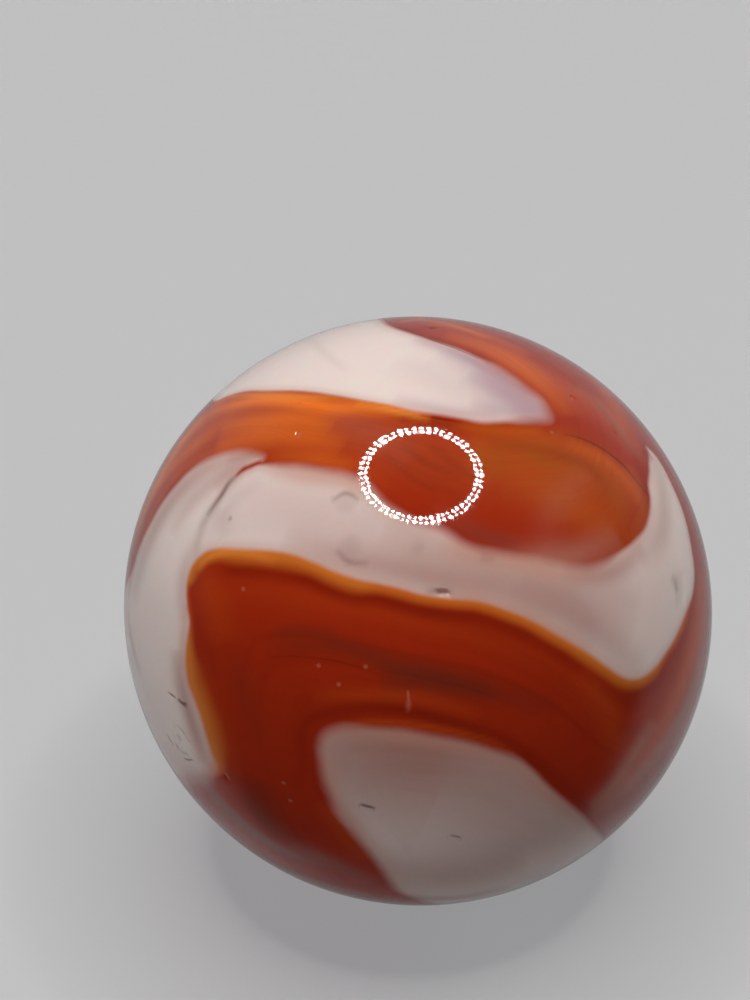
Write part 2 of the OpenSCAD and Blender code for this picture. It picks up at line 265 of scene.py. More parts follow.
# --- Strokes of other glass, and of painted shade: (places along its middle, half width, strength) ---
STROKES = {
    "glow": [
        ([[136, 71], [132, 65], [127, 59], [121, 52], [113, 45], [105, 42], [94, 39]], 0.27, 0.95),
        ([[137, 61], [129, 52], [120, 45], [115, 40]], 0.3, 0.55),
        ([[158, 74], [150, 70], [141, 64], [133, 61]], 0.35, 0.3),
        ([[80, 37], [67, 39], [55, 45]], 0.16, 0.25),
        ([[49, 46], [40, 51], [33, 53], [26, 54]], 0.22, 0.25),
        ([[85, 65], [72, 62], [62, 58], [52, 53]], 0.54, 0.4),
        ([[89, 73], [79, 71], [66, 67]], 0.24, 0.25),
        ([[141, 58], [134, 51], [124, 42], [114, 35]], 0.33, 0.45),
        ([[168, 78], [153, 75], [142, 74], [133, 69]], 0.41, 0.6),
        ([[94, 74], [88, 76], [75, 68]], 0.16, 0.35),
        ([[134, 43], [123, 35], [114, 29]], 0.19, 0.3),
        ([[143, 86], [142, 102], [134, 118], [116, 133]], 0.35, 0.4),
        ([[40, 116], [15, 119], [350, 122], [330, 121]], 0.16, 0.45),
    ],
    "tawny": [
        ([[19, 68], [8, 70], [356, 70], [344, 70]], 0.35, 0.5),
        ([[166, 76], [151, 74], [138, 64], [123, 44], [89, 31], [52, 32], [27, 47]], 1.09, 0.7),
        ([[87, 70], [65, 62], [48, 63], [33, 66]], 0.76, 0.65),
        ([[150, 88], [150, 104], [141, 120], [125, 134], [98, 147]], 0.9, 0.5),
        ([[64, 107], [40, 117], [5, 121], [335, 122]], 0.6, 0.4),
    ],
    "toffee": [
        ([[75, 34], [61, 37], [48, 43], [34, 49], [25, 52]], 0.82, 0.8),
        ([[58, 32], [42, 35], [26, 41], [21, 47]], 0.65, 0.6),
        ([[54, 81], [47, 71], [39, 66]], 0.33, 0.5),
        ([[35, 56], [27, 55], [21, 51], [16, 40]], 0.3, 0.7),
        ([[335, 57], [323, 59], [311, 63]], 0.38, 0.35),
    ],
    "ember": [
        ([[179, 43], [175, 38], [173, 28], [175, 16], [199, 3], [336, 10], [338, 25],
          [334, 41]], 0.3, 0.22),
        ([[233, 30], [237, 26], [251, 22], [276, 22], [296, 27], [305, 35]], 0.1, 0.8),
        ([[243, 43], [252, 49], [259, 57]], 0.33, 0.5),
        ([[219, 26], [231, 20], [272, 16], [301, 23]], 0.19, 0.35),
        ([[127, 38], [114, 31], [103, 23]], 0.22, 0.4),
        ([[340, 33], [331, 45], [322, 55]], 0.43, 0.4),
        ([[8, 73], [354, 68], [341, 64], [329, 63], [319, 63]], 0.65, 1.0),
        ([[192, 46], [203, 47], [214, 49], [222, 54]], 0.33, 0.35),
        ([[54, 85], [45, 71], [36, 64]], 0.33, 0.5),
        ([[168, 46], [177, 41], [190, 39]], 0.49, 0.4),
        ([[170, 71], [157, 68], [148, 63], [138, 52], [134, 42]], 0.22, 0.7),
        ([[160, 98], [152, 116], [135, 132], [110, 146], [70, 160], [0, 170]], 0.3, 0.6),
        ([[240, 112], [256, 124], [266, 140], [268, 156]], 0.35, 0.5),
    ],
    "gold": [
        ([[107, 44], [99, 41], [92, 39], [86, 38]], 0.14, 0.9),
        ([[135, 75], [131, 69], [126, 60], [119, 52], [111, 47], [102, 42]], 0.11, 0.55),
        ([[170, 46], [166, 44], [163, 40], [161, 35], [161, 28]], 0.12, 0.6),
    ],
    "deep": [
        ([[52, 47], [47, 50], [41, 53], [34, 55], [25, 58]], 0.14, 0.35),
        ([[124, 42], [113, 38], [101, 38], [89, 39]], 0.11, 0.6),
        ([[86, 37], [74, 37], [64, 40]], 0.1, 0.5),
        ([[114, 35], [103, 33], [89, 30], [75, 27]], 0.35, 0.4),
        ([[103, 31], [85, 25], [65, 22]], 0.16, 0.4),
        ([[72, 16], [45, 19], [29, 23]], 0.24, 0.6),
        ([[235, 45], [234, 39], [228, 34], [225, 30], [228, 26], [244, 20], [271, 19], [294, 24],
          [305, 31], [310, 46], [310, 69]], 0.16, 0.6),
        ([[180, 45], [191, 43], [199, 44]], 0.19, 0.25),
        ([[337, 39], [335, 46], [338, 54]], 0.16, 0.4),
        ([[140, 118], [124, 132], [103, 144], [72, 153], [30, 164]], 0.16, 0.6),
        ([[255, 100], [264, 118], [270, 140], [276, 158]], 0.25, 0.6),
        ([[312, 100], [316, 112], [318, 124]], 0.2, 0.5),
    ],
    "core": [
        ([[193, 30], [202, 17], [242, 11], [289, 13], [315, 22], [325, 34]], 0.27, 0.6),
        ([[240, 15], [280, 13], [315, 22]], 0.38, 0.55),
        ([[189, 28], [189, 22], [198, 14]], 0.14, 0.35),
        ([[226, 49], [233, 57], [242, 61]], 0.6, 0.55),
        ([[68, 35], [53, 40], [40, 46], [29, 47]], 0.24, 0.35),
        ([[59, 70], [51, 66], [43, 63], [36, 61]], 0.14, 0.22),
        ([[193, 36], [204, 38], [221, 41]], 0.38, 0.2),
        ([[103, 31], [93, 25], [79, 22]], 0.08, 0.32),
        ([[96, 32], [87, 28], [71, 26]], 0.1, 0.36),
        ([[86, 32], [78, 29], [66, 27]], 0.12, 0.3),
        ([[99, 39], [88, 37], [76, 37]], 0.14, 0.25),
        ([[200, 160], [226, 158], [246, 146], [254, 130]], 0.6, 0.55),
        ([[170, 112], [160, 128], [140, 145], [110, 160]], 0.3, 0.35),
    ],
    "olive": [
        ([[73, 32], [64, 32], [56, 30]], 0.38, 0.45),
        ([[36, 47], [28, 48], [22, 46]], 0.38, 0.35),
        ([[57, 37], [49, 39], [40, 41]], 0.22, 0.35),
        ([[222, 148], [238, 138], [246, 120]], 0.4, 0.4),
    ],
    "veil": [
        ([[23, 15], [23, 24], [19, 33], [20, 44]], 0.41, 0.65),
        ([[335, 59], [327, 58], [318, 59], [311, 59]], 0.33, 0.55),
        ([[28, 26], [38, 35], [39, 46]], 0.43, 0.15),
        ([[115, 45], [109, 39], [102, 35], [92, 28]], 0.43, 0.15),
        ([[83, 19], [51, 18], [29, 24]], 0.3, 0.12),
        ([[2, 74], [350, 73], [339, 71], [328, 66], [317, 63], [308, 62]], 0.43, 0.5),
        ([[55, 65], [45, 65], [35, 61]], 0.33, 0.3),
    ],
    "mauve": [
        ([[216, 64], [227, 66], [239, 66], [252, 63]], 0.33, 0.8),
        ([[233, 85], [246, 77], [261, 75]], 0.3, 0.8),
        ([[241, 62], [251, 61], [261, 66]], 0.38, 0.45),
        ([[286, 85], [299, 85], [309, 85]], 0.19, 0.4),
    ],
    # Pink-brown tint of the white glass, partly painted shade: the broadest strokes darken the lower
    # part of the white and its greyer bands
    "blush": [
        ([[152, 29], [147, 18], [114, 8], [43, 8], [8, 19], [352, 36]], 0.43, 0.6),
        ([[115, 16], [78, 11], [26, 17], [5, 29], [352, 44]], 0.43, 0.35),
        ([[151, 45], [142, 31], [105, 12], [14, 19], [0, 36], [11, 61]], 1.25, 0.38),
        ([[134, 44], [142, 52], [150, 58], [159, 63], [168, 67], [178, 71]], 0.43, 0.6),
        ([[141, 45], [145, 49], [150, 52], [156, 55], [163, 57]], 0.35, 0.4),
        ([[162, 48], [169, 50], [177, 50], [183, 49]], 0.24, 0.32),
        ([[152, 45], [160, 41]], 0.38, 0.2),
        ([[137, 45], [142, 48], [149, 50]], 0.3, 0.35),
        ([[133, 42], [137, 47], [142, 52]], 0.19, 0.5),
        ([[229, 55], [238, 32], [271, 25], [298, 34], [317, 85]], 2.72, 0.93),
        ([[256, 58], [275, 62], [294, 64]], 1.22, 0.45),
        ([[260, 70], [273, 74], [289, 77]], 0.35, 0.5),
        ([[14, 28], [11, 39], [16, 50]], 0.3, 0.6),
        ([[35, 72], [26, 64], [18, 57], [13, 47]], 0.43, 0.45),
        ([[11, 17], [2, 27], [351, 38], [345, 49]], 0.43, 0.4),
        ([[19, 20], [7, 34], [1, 46]], 0.54, 0.25),
        ([[189, 52], [199, 54], [209, 56], [217, 60]], 0.35, 0.75),
        ([[178, 76], [171, 74], [165, 70]], 0.27, 0.5),
        ([[178, 77], [186, 74], [193, 71]], 0.16, 0.4),
        ([[118, 96], [104, 113], [84, 125], [56, 133], [20, 141], [338, 148], [306, 142],
          [294, 122], [292, 100]], 0.7, 0.3),
        ([[132, 96], [127, 112], [114, 126], [95, 137], [70, 145]], 0.3, 0.45),
        ([[62, 102], [40, 105], [10, 108], [345, 111], [328, 110]], 0.5, 0.4),
        ([[150, 122], [170, 131], [195, 137], [215, 133], [230, 123]], 0.5, 0.35),
    ],
    "peach": [
        ([[178, 48], [187, 50], [195, 52]], 0.19, 0.4),
        ([[206, 56], [213, 58], [218, 57]], 0.38, 0.35),
        ([[137, 46], [131, 35], [119, 28], [106, 21], [92, 16]], 0.24, 0.55),
        ([[72, 13], [42, 15], [25, 21], [15, 28], [12, 36]], 0.3, 0.6),
        ([[42, 5], [7, 11], [357, 19], [350, 27], [346, 35]], 0.24, 0.55),
        ([[238, 34], [244, 40], [253, 46], [260, 54]], 0.19, 0.5),
        ([[299, 32], [304, 42], [307, 53], [308, 66]], 0.24, 0.5),
        ([[241, 26], [262, 24], [283, 26], [299, 33]], 0.19, 0.5),
        ([[200, 49], [209, 51], [216, 55]], 0.14, 0.5),
        ([[86, 105], [72, 115], [50, 122], [22, 128], [350, 131]], 0.25, 0.5),
        ([[283, 150], [279, 130], [279, 106]], 0.25, 0.45),
    ],
    "lilac": [
        ([[91, 63], [81, 58], [71, 54], [62, 51], [52, 47]], 0.33, 0.9),
        ([[85, 58], [72, 51], [63, 48], [54, 46]], 0.54, 0.5),
        # This stroke is painted shade beside the fold's crease
        ([[140, 40], [151, 44], [163, 45]], 0.24, 0.2),
        ([[97, 43], [81, 40], [67, 43]], 0.24, 0.45),
        ([[78, 52], [67, 49], [54, 48]], 0.49, 0.65),
        ([[76, 43], [65, 45], [55, 51]], 0.3, 0.45),
        ([[95, 55], [82, 47], [66, 44]], 0.6, 0.2),
        ([[110, 112], [92, 124], [68, 134], [40, 146], [0, 153]], 0.3, 0.4),
        ([[320, 156], [300, 150], [290, 130]], 0.3, 0.35),
        ([[180, 138], [200, 142], [218, 137]], 0.25, 0.4),
    ],
    # Most of these strokes are painted shade, in and beside the dents and along the fold's crease; a
    # few are faint fold lines and dirt
    "shade": [
        ([[142, 46], [146, 47], [150, 47], [156, 48]], 0.09, 0.85),
        ([[144, 46], [152, 47], [159, 48], [168, 47]], 0.19, 0.4),
        ([[207, 63], [209, 63]], 0.08, 0.35),
        ([[113, 85], [110, 64], [106, 53]], 0.14, 0.12),
        ([[129, 26], [123, 26], [120, 25], [118, 23]], 0.07, 0.5),
        ([[143, 19], [145, 16], [142, 14], [136, 12]], 0.09, 0.5),
        ([[42, 15], [34, 17]], 0.11, 0.4),
        ([[95, 12], [84, 11]], 0.19, 0.2),
        ([[8, 57], [4, 59]], 0.14, 0.35),
        ([[69, 4], [43, 5], [30, 7]], 0.08, 0.5),
        ([[112, 90], [106, 106], [90, 120], [64, 129]], 0.1, 0.25),
        ([[20, 150], [340, 157], [304, 150], [292, 134]], 0.1, 0.22),
    ],
}
# Dark threads in the glass: (places along the thread, half width, strength)
THREADS = [
    ([[253, 40.5], [258, 40.5]], 0.08, 0.9),
    ([[278, 47], [281, 48.5]], 0.07, 0.6),
    ([[206, 68], [207.5, 68], [209, 67.5]], 0.05, 0.8),
    ([[212, 66.5], [213, 65], [213.5, 62.5]], 0.05, 0.8),
    ([[35, 68.5], [32.5, 68]], 0.05, 0.8),
    ([[96, 72], [87.5, 63], [82, 60], [76, 57.5]], 0.04, 0.7),
    ([[200, 56.5], [201.5, 55.5], [202, 54]], 0.07, 0.9),
    ([[90, 38.5], [83.5, 38], [76.5, 38]], 0.04, 0.6),
    ([[197, 30.5], [201.5, 23.5], [215.5, 16.5], [244.5, 13.5]], 0.05, 0.3),
    ([[89.5, 69.5], [87.5, 70], [84, 70.5]], 0.03, 0.7),
    ([[51, 47.5], [44.5, 51.5], [36.5, 55], [30, 56.5], [25.5, 58]], 0.06, 0.6),
]
# Where the red glass runs into the white in a narrow notch, and how far round it the mesh is fine
NOTCH_AT = [140, 46]
NOTCH_REACH = 0.5
# How far from a thread, in mm, its line is still told apart
THREAD_REACH = 0.2
# Steps between two places of a stroke or thread, and how bluntly both fade out at their ends
STROKE_STEPS = 8
END_FADE = 0.6

# --- Marks of making and play ---------------------------------------------------------------------
# A mark's D is its width in mm, and its DIRT is how much dirt its deepest place holds. Above 1,
# RIM_SOFTNESS rounds the rim of every hollow.
RIM_SOFTNESS = 1.2
DENT_D = 0.75
DENT_DEPTH = 0.018
DENT_DIRT = 0.15
DENT_AT = [[124, 24], [137, 17]]
PIT_D = 0.36
PIT_DEPTH = 0.08
PIT_DIRT = 0.25
PIT_AT = [36, 5.5]
# The pit is longer by PIT_STRETCH along its lean, and narrower by it across
PIT_LEAN = -42
PIT_STRETCH = 1.6
BUBBLE_D = 0.2
BUBBLE_DEPTH = 0.03
BUBBLE_AT = [[120, 50], [124, 43], [87, 69], [54, 60], [42, 61], [221, 56], [232, 45], [236, 48]]
# Shallower bubbles with dirt in them, and light specks just under the skin; those at bubbles are
# painted glints
SPECK_AT = [[154, 42], [35, 66]]
SPECK_DEPTH = 0.015
SPECK_DIRT = 0.4
FLECK_D = 0.15
FLECK_AT = [
    [124, 43], [221, 56], [232, 45], [236, 48], [209, 21], [227, 14], [223, 20], [173, 34], [53, 46],
    [87, 69], [54, 60],
]
# A light splinter in the red glass: its two ends, its width, and how far round it the mesh is fine
SPLINTER = [[263, 15], [265, 18]]
SPLINTER_W = 0.1
SPLINTER_REACH = 0.25
# A moon-shaped bruise: a fine ring, by what share of its radius it wavers, and its half width
MOON_D = 0.84
MOON_WAVER = 0.08
MOON_HALF = 0.08
MOON_DEPTH = 0.02
MOON_DIRT = 0.6
MOON_AT = [209, 63]
CREASE_W = 0.1
# Creases, one of them a wide sliding dent: place, lean, length, width, depth, and dirt
CREASES = [
    ([151, 47], 78, 1.6, CREASE_W, 0.014, 0),
    ([4, 60], 80, 1.1, 0.6, 0.035, 0.1),
    ([199, 58.5], 146, 0.4, CREASE_W, 0.05, 0.8),
    ([201.5, 56], 139, 0.44, CREASE_W, 0.05, 0.9),
]


def bowl(distance, width, depth):
    """How deep a round hollow is at a distance from its middle."""
    share = distance / (width / 2)
    return depth * np.maximum(1 - share**2, 0) ** RIM_SOFTNESS


def sunk(spots):
    """How far the marks lower the surface, in mm, and how much dirt each place holds."""
    depth = np.zeros(len(spots))
    dirt = np.zeros(len(spots))
    rounds = [(at, DENT_D, DENT_DEPTH, DENT_DIRT) for at in DENT_AT]
    rounds += [(at, BUBBLE_D, BUBBLE_DEPTH, 0) for at in BUBBLE_AT]
    rounds += [(at, BUBBLE_D, SPECK_DEPTH, SPECK_DIRT) for at in SPECK_AT]
    for at, width, deep, dirty in rounds:
        distance = np.hypot(*local(spots, at))
        hollow = bowl(distance, width, deep)
        depth = np.maximum(depth, hollow)
        dirt = np.maximum(dirt, dirty * hollow / deep)
    along, across = local(spots, PIT_AT, PIT_LEAN)
    hollow = bowl(np.hypot(along / PIT_STRETCH, across * PIT_STRETCH), PIT_D, 1)
    depth = np.maximum(depth, hollow * PIT_DEPTH)
    dirt = np.maximum(dirt, hollow * PIT_DIRT)
    for at, lean, length, width, deep, dirty in CREASES:
        along, across = local(spots, at, lean)
        fade = np.clip(1 - (2 * along / length) ** 2, 0, 1)
        cut = fade * np.clip(1 - (2 * across / width) ** 2, 0, 1)
        depth = np.maximum(depth, cut * deep)
        dirt = np.maximum(dirt, cut * dirty)
    along, across = local(spots, MOON_AT)
    turn = np.arctan2(across, along)
    ring = np.abs(np.hypot(along, across) - MOON_D / 2 * (1 + MOON_WAVER * np.sin(3 * turn + 1)))
    # The ring is broken on two sides, and unevenly elsewhere
    broken = np.clip(0.5 + 0.5 * np.sin(2 * turn + 0.6) + 0.25 * np.sin(7 * turn), 0, 1)
    cut = broken * np.clip(1 - ring / MOON_HALF, 0, 1)
    return np.maximum(depth, cut * MOON_DEPTH), np.maximum(dirt, cut**2 * MOON_DIRT)


def marked_zones():
    """Places and radii, in mm, round which the mesh is made finer."""
    zones = [(at, DENT_D / 2) for at in DENT_AT] + [(PIT_AT, PIT_D / 2)]
    zones += [(at, BUBBLE_D / 2) for at in BUBBLE_AT + SPECK_AT + FLECK_AT]
    zones += [(MOON_AT, MOON_D / 2), (SPLINTER[0], SPLINTER_REACH), (NOTCH_AT, NOTCH_REACH)]
    return zones + [(crease[0], crease[2] / 2) for crease in CREASES]


def blown_out(cube_points):
    """Directions of points on a cube's faces, spread so that its squares come out nearly even."""
    return unit(np.tan(cube_points * math.pi / 4))


def grid_ball():
    """A cube's grid of squares, halved again round the marks; still a cube, closed at its edges."""
    grid = bmesh.new()
    bmesh.ops.create_cube(grid, size=2)
    bmesh.ops.subdivide_edges(grid, edges=grid.edges[:], cuts=FACES_ACROSS - 1, use_grid_fill=True)
    for step in range(FINE_STEPS):
        spots = blown_out(np.array([v.co for v in grid.verts]))
        half_face = 0.5 / 2**step * BALL_D / FACES_ACROSS
        near = np.zeros(len(spots), bool)
        for at, radius in marked_zones():
            near |= np.hypot(*local(spots, at)) < radius + half_face
        grid.verts.ensure_lookup_table()
        grid.verts.index_update()
        edges = [e for e in grid.edges if near[e.verts[0].index] and near[e.verts[1].index]]
        bmesh.ops.subdivide_edges(grid, edges=edges, cuts=1, use_grid_fill=True)
    return grid


def ripples(spots):
    """The faint waviness of fire-polished glass, in mm."""
    return sum(height * np.sin(spots @ np.array(way) + start) for way, start, height in RIPPLES)


def surface(spots, depth):
    """Points of the ball's surface in the show face's axes, in mm."""
    long_way = spots @ heading(LONG_AT)
    reach = BALL_D / 2 + LONG_EXTRA / 2 * long_way**2
    return spots * (reach + ripples(spots) - RIPPLE_DROP - depth)[:, None]


def beside_stroke(spots, places):
    """Distance in mm to a stroke's smooth middle line, and how full it is there along its length."""
    line = through(heading(places), STROKE_STEPS)
    line = np.hstack([line, np.linspace(0, 1, len(line))[:, None]])
    gap, along = beside(spots, line, closed=False)
    return gap, np.sin(math.pi * np.clip(along[:, 0], 0, 1)) ** END_FADE


def fold_values(spots):
    """How far each direction is inside the white, where it lies in the flow, and its edge's looks."""
    edge = np.full(len(spots), -np.inf)
    looks = np.zeros((len(spots), 3))
    pull = np.zeros(len(spots))
    flow = np.zeros(len(spots))
    for order, stretches in enumerate(FOLDS):
        gap, held = beside(spots, fold_outline(stretches), closed=True)
        nearer = gap > edge
        edge = np.where(nearer, gap, edge)
        looks = np.where(nearer[:, None], held, looks)
        weight = 1 / (np.abs(gap) + FLOW_HOLD) ** 2
        pull += weight
        flow += weight * order
    blur, seam, line = looks.T
    return {"edge": edge, "flow": flow / pull, "blur": blur, "seam": seam, "line": line}


def stroke_cover(spots, strokes):
    """How far a kind of stroke covers the glass below it, from 0 to 1."""
    cover = np.zeros(len(spots))
    for places, half_width, strength in strokes:
        gap, full = beside_stroke(spots, places)
        cover = 1 - (1 - cover) * (1 - strength * full * np.exp(-((gap / half_width) ** 2)))
    return cover


def thread_values(spots):
    """The distance to the closest thread in its half widths, and how strong the thread is."""
    side = np.ones(len(spots))
    share = np.zeros(len(spots))
    closest = np.full(len(spots), np.inf)
    for places, half_width, strength in THREADS:
        gap, full = beside_stroke(spots, places)
        nearer = np.abs(gap) < closest
        closest = np.where(nearer, np.abs(gap), closest)
        near = np.clip(1 - (np.abs(gap) / THREAD_REACH) ** 2, 0, 1)
        side = np.where(nearer, gap / half_width, side)
        share = np.where(nearer, strength * full * near, share)
    return {"thread_side": side, "thread_share": share}


def fleck_glint_share(spots):
    """How much of each place belongs to the light specks, some of them painted glints, and to the
    splinter, from 0 to 1.
    """
    flecks = [1 - (np.hypot(*local(spots, at)) / (FLECK_D / 2)) ** 2 for at in FLECK_AT]
    flecks.append(1 - (beside_stroke(spots, SPLINTER)[0] / (SPLINTER_W / 2)) ** 2)
    return np.clip(np.max(flecks, axis=0), 0, 1)


def pattern(spots):
    """The values that the glass finish reads, by name, at each direction."""
    covers = {name: stroke_cover(spots, strokes) for name, strokes in STROKES.items()}
    rest = {"fleck": fleck_glint_share(spots), "dirt": sunk(spots)[1]}
    return fold_values(spots) | covers | thread_values(spots) | rest


# --- Materials, written as expressions ------------------------------------------------------------
class Wire:
    """One output of a node. Maths on a number's output reads as maths and adds Math nodes."""

    def __init__(self, tree, socket):
        self.tree = tree
        self.socket = socket

    def maths(self, operation, *values):
        return node(self.tree, "ShaderNodeMath", {"operation": operation}, values)

    def __add__(self, other):
        return self.maths("ADD", self, other)

    __radd__ = __add__

    def __sub__(self, other):
        return self.maths("SUBTRACT", self, other)

    def __rsub__(self, other):
        return self.maths("SUBTRACT", other, self)

    def __mul__(self, other):
        return self.maths("MULTIPLY", self, other)

    __rmul__ = __mul__

    def __neg__(self):
        return self * -1

    def __abs__(self):
        return self.maths("ABSOLUTE", self)

    def step(self, low, high):
        """0 below low, 1 above high, and a smooth rise between them."""
        settings = {"interpolation_type": "SMOOTHSTEP"}
        return node(self.tree, "ShaderNodeMapRange", settings, [self, low, high, 0, 1])


def node(tree, kind, settings, values=(), output=0):
    """Adds a node: its settings first, then its sockets' values or links; returns one output.

    A socket that takes several links is given a list of them."""
    made = tree.nodes.new(kind)
    for name, value in settings.items():
        setattr(made, name, value)
    pairs = values.items() if isinstance(values, dict) else enumerate(values)
    for place, value in pairs:
        socket = made.inputs[place]
        if isinstance(value, Wire):
            tree.links.new(value.socket, socket)
        elif socket.is_multi_input:
            for wire in value:
                tree.links.new(wire.socket, socket)
        elif socket.type == "RGBA":
            socket.default_value = (*value, 1)
        else:
            socket.default_value = value
    return Wire(tree, made.outputs[output])


def blend(tree, below, above, share, kind="MIX"):
    """One colour over another: above shows by its share, held between 0 and 1."""
    settings = {"data_type": "RGBA", "blend_type": kind, "clamp_factor": True}
    return node(tree, "ShaderNodeMix", settings, {0: share, 6: below, 7: above}, 2)


def scaled(tree, vector, share):
    """A vector or colour times one number."""
    return node(tree, "ShaderNodeVectorMath", {"operation": "SCALE"}, {0: vector, "Scale": share})


def new_finish(name):
    """A material with an empty tree, and the tree."""
    finish = bpy.data.materials.new(name)
    finish.use_nodes = True
    finish.node_tree.nodes.clear()
    return finish, finish.node_tree


def show(tree, shader, kind="Material"):
    """Makes a shader the one that its material, or the world, shows."""
    out = tree.nodes.new(f"ShaderNodeOutput{kind}")
    tree.links.new(shader.socket, out.inputs["Surface"])


# --- Colours and finish of the glass --------------------------------------------------------------
WHITE = (0.86, 0.73, 0.69)
PINK = (0.60, 0.30, 0.24)
# Pink-brown of the white glass, used partly as painted shade
BLUSH_AND_SHADE = (0.42, 0.20, 0.165)
PEACH = (0.60, 0.30, 0.21)
LILAC = (0.46, 0.30, 0.36)
# Colour of the painted shade in dents and along creases
SHADE = (0.28, 0.16, 0.135)
# Light specks in the glass, partly painted glints of small bubbles
FLECK_GLINT = (0.55, 0.17, 0.10)
ORANGE_RED = (0.38, 0.023, 0.004)
EMBER = (0.55, 0.07, 0.008)
TAWNY = (0.50, 0.075, 0.020)
DEEP_RED = (0.22, 0.011, 0.002)
BROWN_CORE = (0.13, 0.022, 0.010)
BRIGHT_ORANGE = (0.92, 0.21, 0.018)
AMBER = (0.66, 0.188, 0.023)
GOLD = (0.88, 0.29, 0.045)
TOFFEE = (0.52, 0.105, 0.016)
OLIVE_AMBER = (0.40, 0.10, 0.012)
HAZE = (0.50, 0.21, 0.15)
MAUVE_GLASS = (0.30, 0.14, 0.12)
THREAD_SHADE = (0.22, 0.15, 0.13)
DIRT = (0.10, 0.045, 0.035)
# Strokes laid one over another, in order: the value that places each, its colour, how much of it
# shows at least, and how much more in a streak or cloud
RED_LAYERS = [
    ("tawny", TAWNY, 0.75, 0.5),
    ("toffee", TOFFEE, 0.6, 0.8),
    ("core", BROWN_CORE, 0.7, 0.5),
    ("olive", OLIVE_AMBER, 0.6, 0.8),
    ("ember", EMBER, 0.6, 0.8),
    ("glow", BRIGHT_ORANGE, 0.75, 0.5),
]
CLOUDY_LAYERS = [("veil", HAZE, 0.6, 0.8), ("mauve", MAUVE_GLASS, 0.7, 0.6)]
WHITE_LAYERS = [("blush", BLUSH_AND_SHADE, 0.93, 0.14), ("peach", PEACH, 0.8, 0.4)]
# Streaks: how fast they change along the flow per mm, and across it along each of three axes
STREAK_ALONG = 0.16
STREAK_ACROSS = (5, 2.5, -3.5)
# Noise: its scale, detail, roughness and warp
STREAKS = (1.0, 2, 0.5, 0.2)
FINE_STREAKS = (3.2, 3, 0.6, 0.2)
CLOUDS = (0.45, 2, 0.5, 0)
RUBS = (1.7, 4, 0.6, 0)
SKIN_WAVES = (3.0, 2, 0.5, 0)
# The streaks from which the red glass starts to darken and is darkest, and by what share
DARK_STREAK = (0.45, 0.75)
DARK_STREAK_SHARE = 0.3
# The dark line: how far beyond the amber seam, how far it reaches to each side, and its share
LINE_BEYOND = 0.16
LINE_REACH = 0.34
LINE_SHARE = 0.75
# The amber seam is full out to the first share of its width and gone by the second. The narrowest
# seams fade away below SEAM_SHOWS, and narrow ones are more red than amber below SEAM_AMBER.
SEAM_EDGE = (0.1, 1.5)
SEAM_SHOWS = (0.02, 0.15)
SEAM_AMBER = (0.12, 0.3)
# The white's pink rim: how many blurs wide, its least width, and its share
PINK_BLURS = 2.5
PINK_LEAST = 0.1
PINK_SHARE = 0.35
# How far the fine streaks shift the edge of the white, in blurs
EDGE_WANDER = 0.9
# A thread is full out to the first share of its half width, and gone by the second
THREAD_EDGE = (0.1, 1.1)
FLECK_GLINT_SHARE = 0.55
DIRT_SHARE = 0.8
# Roughness of the polish, what rubbed places and dirt add to it, and where the rub noise shows
POLISH = 0.03
RUBBED_MORE = 0.05
DIRT_MORE = 0.3
RUB_SHOWS = (0.55, 0.8)
GLASS_IOR = 1.5
# How far light spreads under the skin, in mm for each channel, and what share of it does
GLOW_DEPTH = (1.0, 0.35, 0.25)
GLOW_SHARE = 0.5
# Keeps the way from full to gone from being empty where there is no seam
HAIR = 0.001


